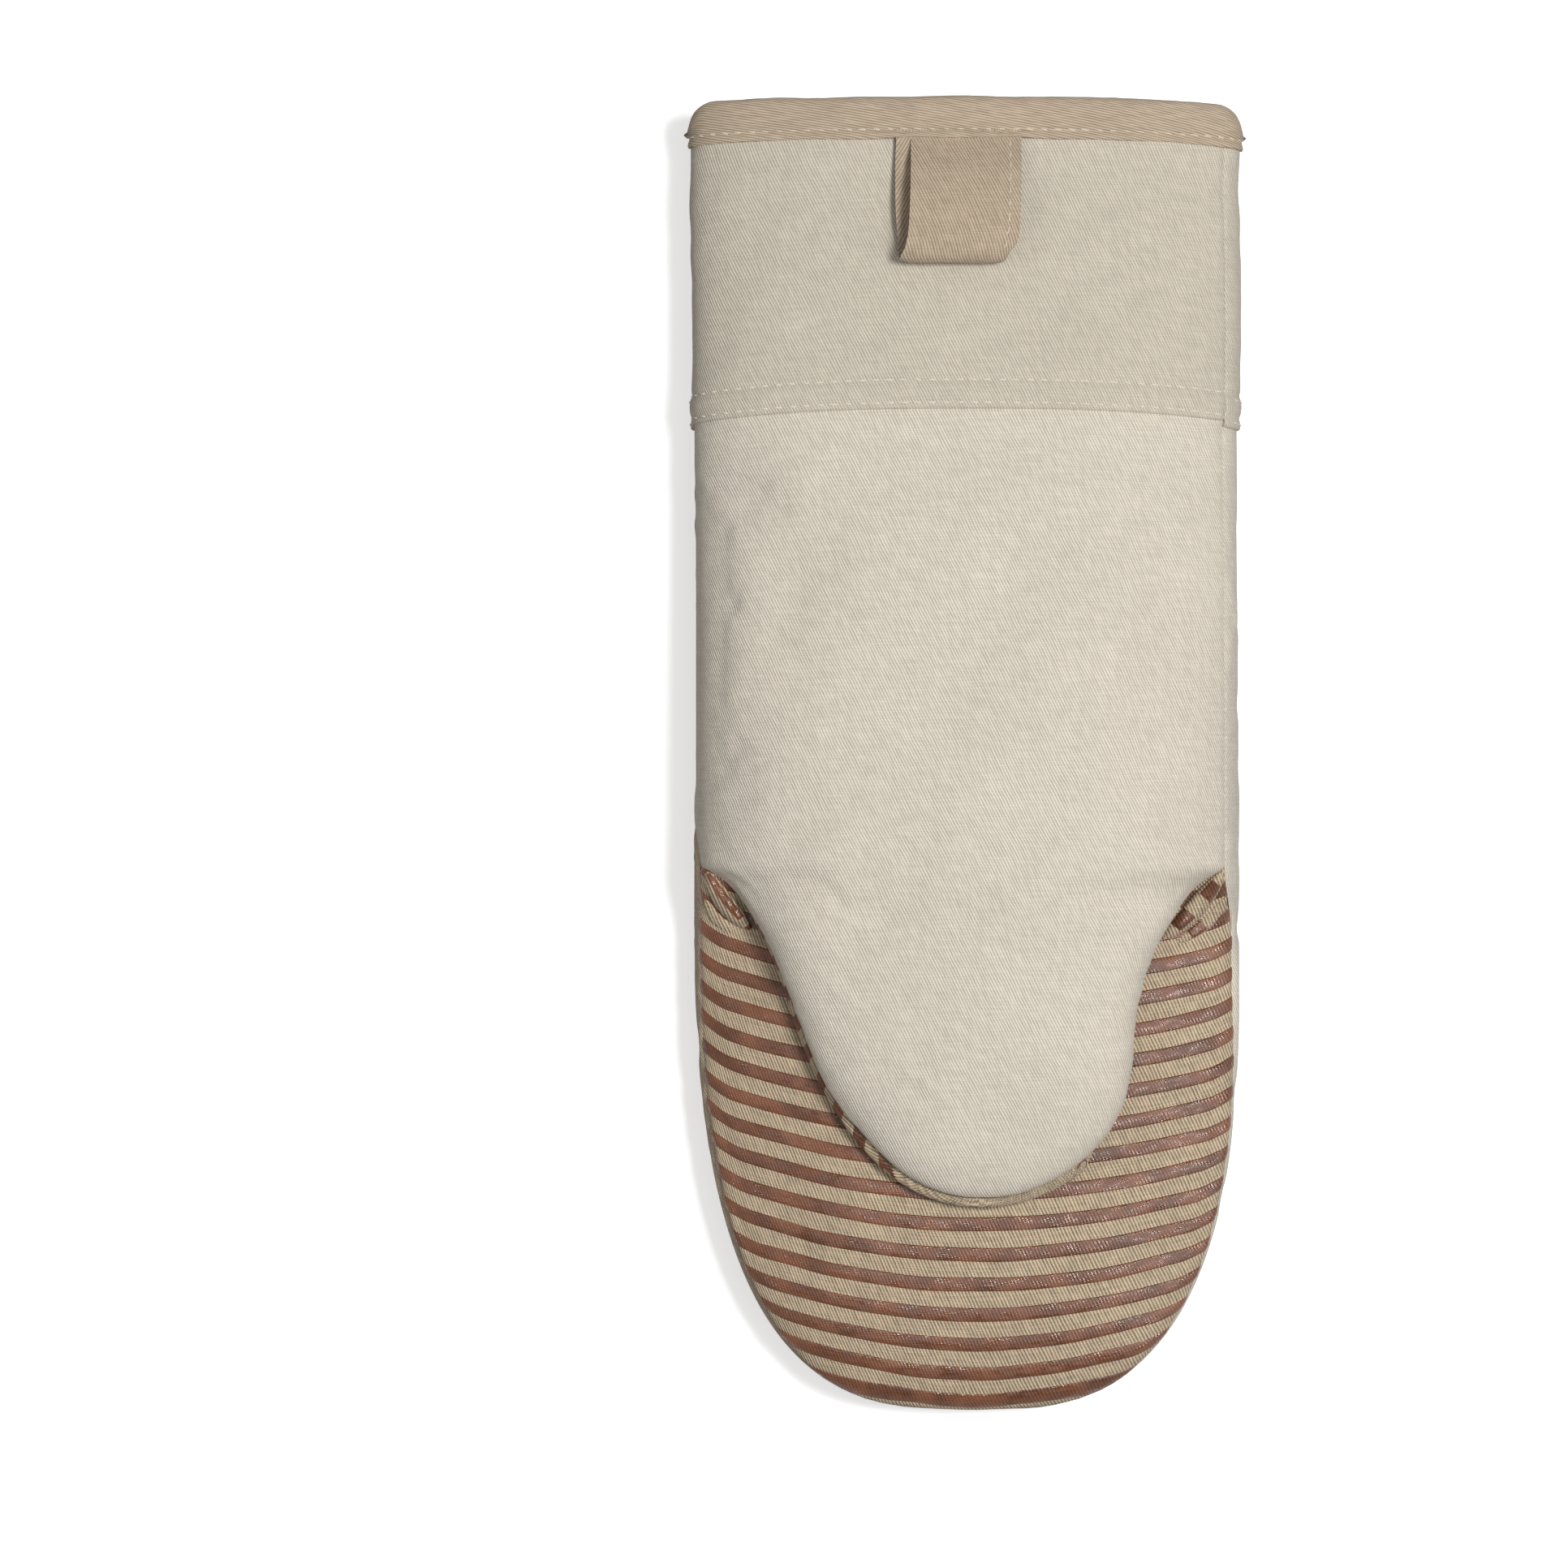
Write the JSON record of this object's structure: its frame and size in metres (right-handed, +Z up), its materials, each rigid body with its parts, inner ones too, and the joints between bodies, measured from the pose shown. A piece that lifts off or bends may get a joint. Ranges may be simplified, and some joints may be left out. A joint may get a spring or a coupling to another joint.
{
  "type": "oven mitt",
  "caption": "Quilted fabric oven mitt with a jaw-like folded thumb, silicone striped grip, bound cuff and hanging loop.",
  "frame": {"origin": "on the resting face under the back of the hand, at the middle of the outline", "axes": "+Y out of the cuff, along the mitt; +Z up out of the palm and thumb; +X to the right seen from above"},
  "size_m": [0.1394, 0.33, 0.0435],
  "materials": {
    "cream_twill": "cotton twill, matt",
    "tan_twill": "cotton twill, matt",
    "striped_fabric": "cotton, matt, under printed stripes",
    "silicone": "printed silicone, glossy",
    "batting": "needled wadding, matt",
    "lining": "brushed cotton, matt",
    "thread": "spun polyester thread",
    "label_satin": "woven satin tape"
  },
  "bodies": {
    "hand": {"cuff_binding": "tan_twill", "cuff_band_palm": "cream_twill", "cuff_band_back": "cream_twill", "palm_panel": "cream_twill", "back_panel": "cream_twill", "accent_panel": "tan_twill", "accent_seam_thread": "thread", "finger_grip_panel": "striped_fabric", "finger_grip_stripes": "silicone", "palm_batting": "batting", "back_batting": "batting", "finger_batting": "batting", "palm_lining": "lining", "back_lining": "lining", "finger_lining": "lining", "cuff_topstitch_palm": "thread", "cuff_topstitch_back": "thread", "binding_stitch": "thread", "side_seam_stitch": "thread"},
    "thumb": {"thumb_panel": "cream_twill", "thumb_grip_panel": "striped_fabric", "thumb_grip_stripes": "silicone", "thumb_batting": "batting", "thumb_grip_batting": "batting", "thumb_lining": "lining", "thumb_grip_lining": "lining"},
    "fingertips": {"fingertip_back_panel": "cream_twill", "fingertip_accent_panel": "tan_twill", "fingertip_seam_thread": "thread", "fingertip_grip_panel": "striped_fabric", "fingertip_grip_stripes": "silicone", "fingertip_back_batting": "batting", "fingertip_grip_batting": "batting", "fingertip_back_lining": "lining", "fingertip_grip_lining": "lining"},
    "loop": {"hanging_loop": "tan_twill", "loop_edge_stitch": "thread"},
    "label": {"woven_label": "label_satin"}
  },
  "joints": [
    {"name": "thumb_fold", "type": "hinge", "parent": "hand", "child": "thumb", "pos_m": [0, -0.0302, 0.0435], "axis": [-1, 0, 0], "range_deg": [0, 90]},
    {"name": "finger_curl", "type": "hinge", "parent": "hand", "child": "fingertips", "pos_m": [0, -0.1133, 0.0253], "axis": [-1, 0, 0], "range_deg": [0, 60]},
    {"name": "loop_swing", "type": "hinge", "parent": "hand", "child": "loop", "pos_m": [0, 0.1542, 0.02944], "axis": [-1, 0, 0], "range_deg": [0, 135]},
    {"name": "label_flap", "type": "hinge", "parent": "hand", "child": "label", "pos_m": [0, 0.0862, 0.0012], "axis": [1, 0, 0], "range_deg": [0, 100]}
  ]
}
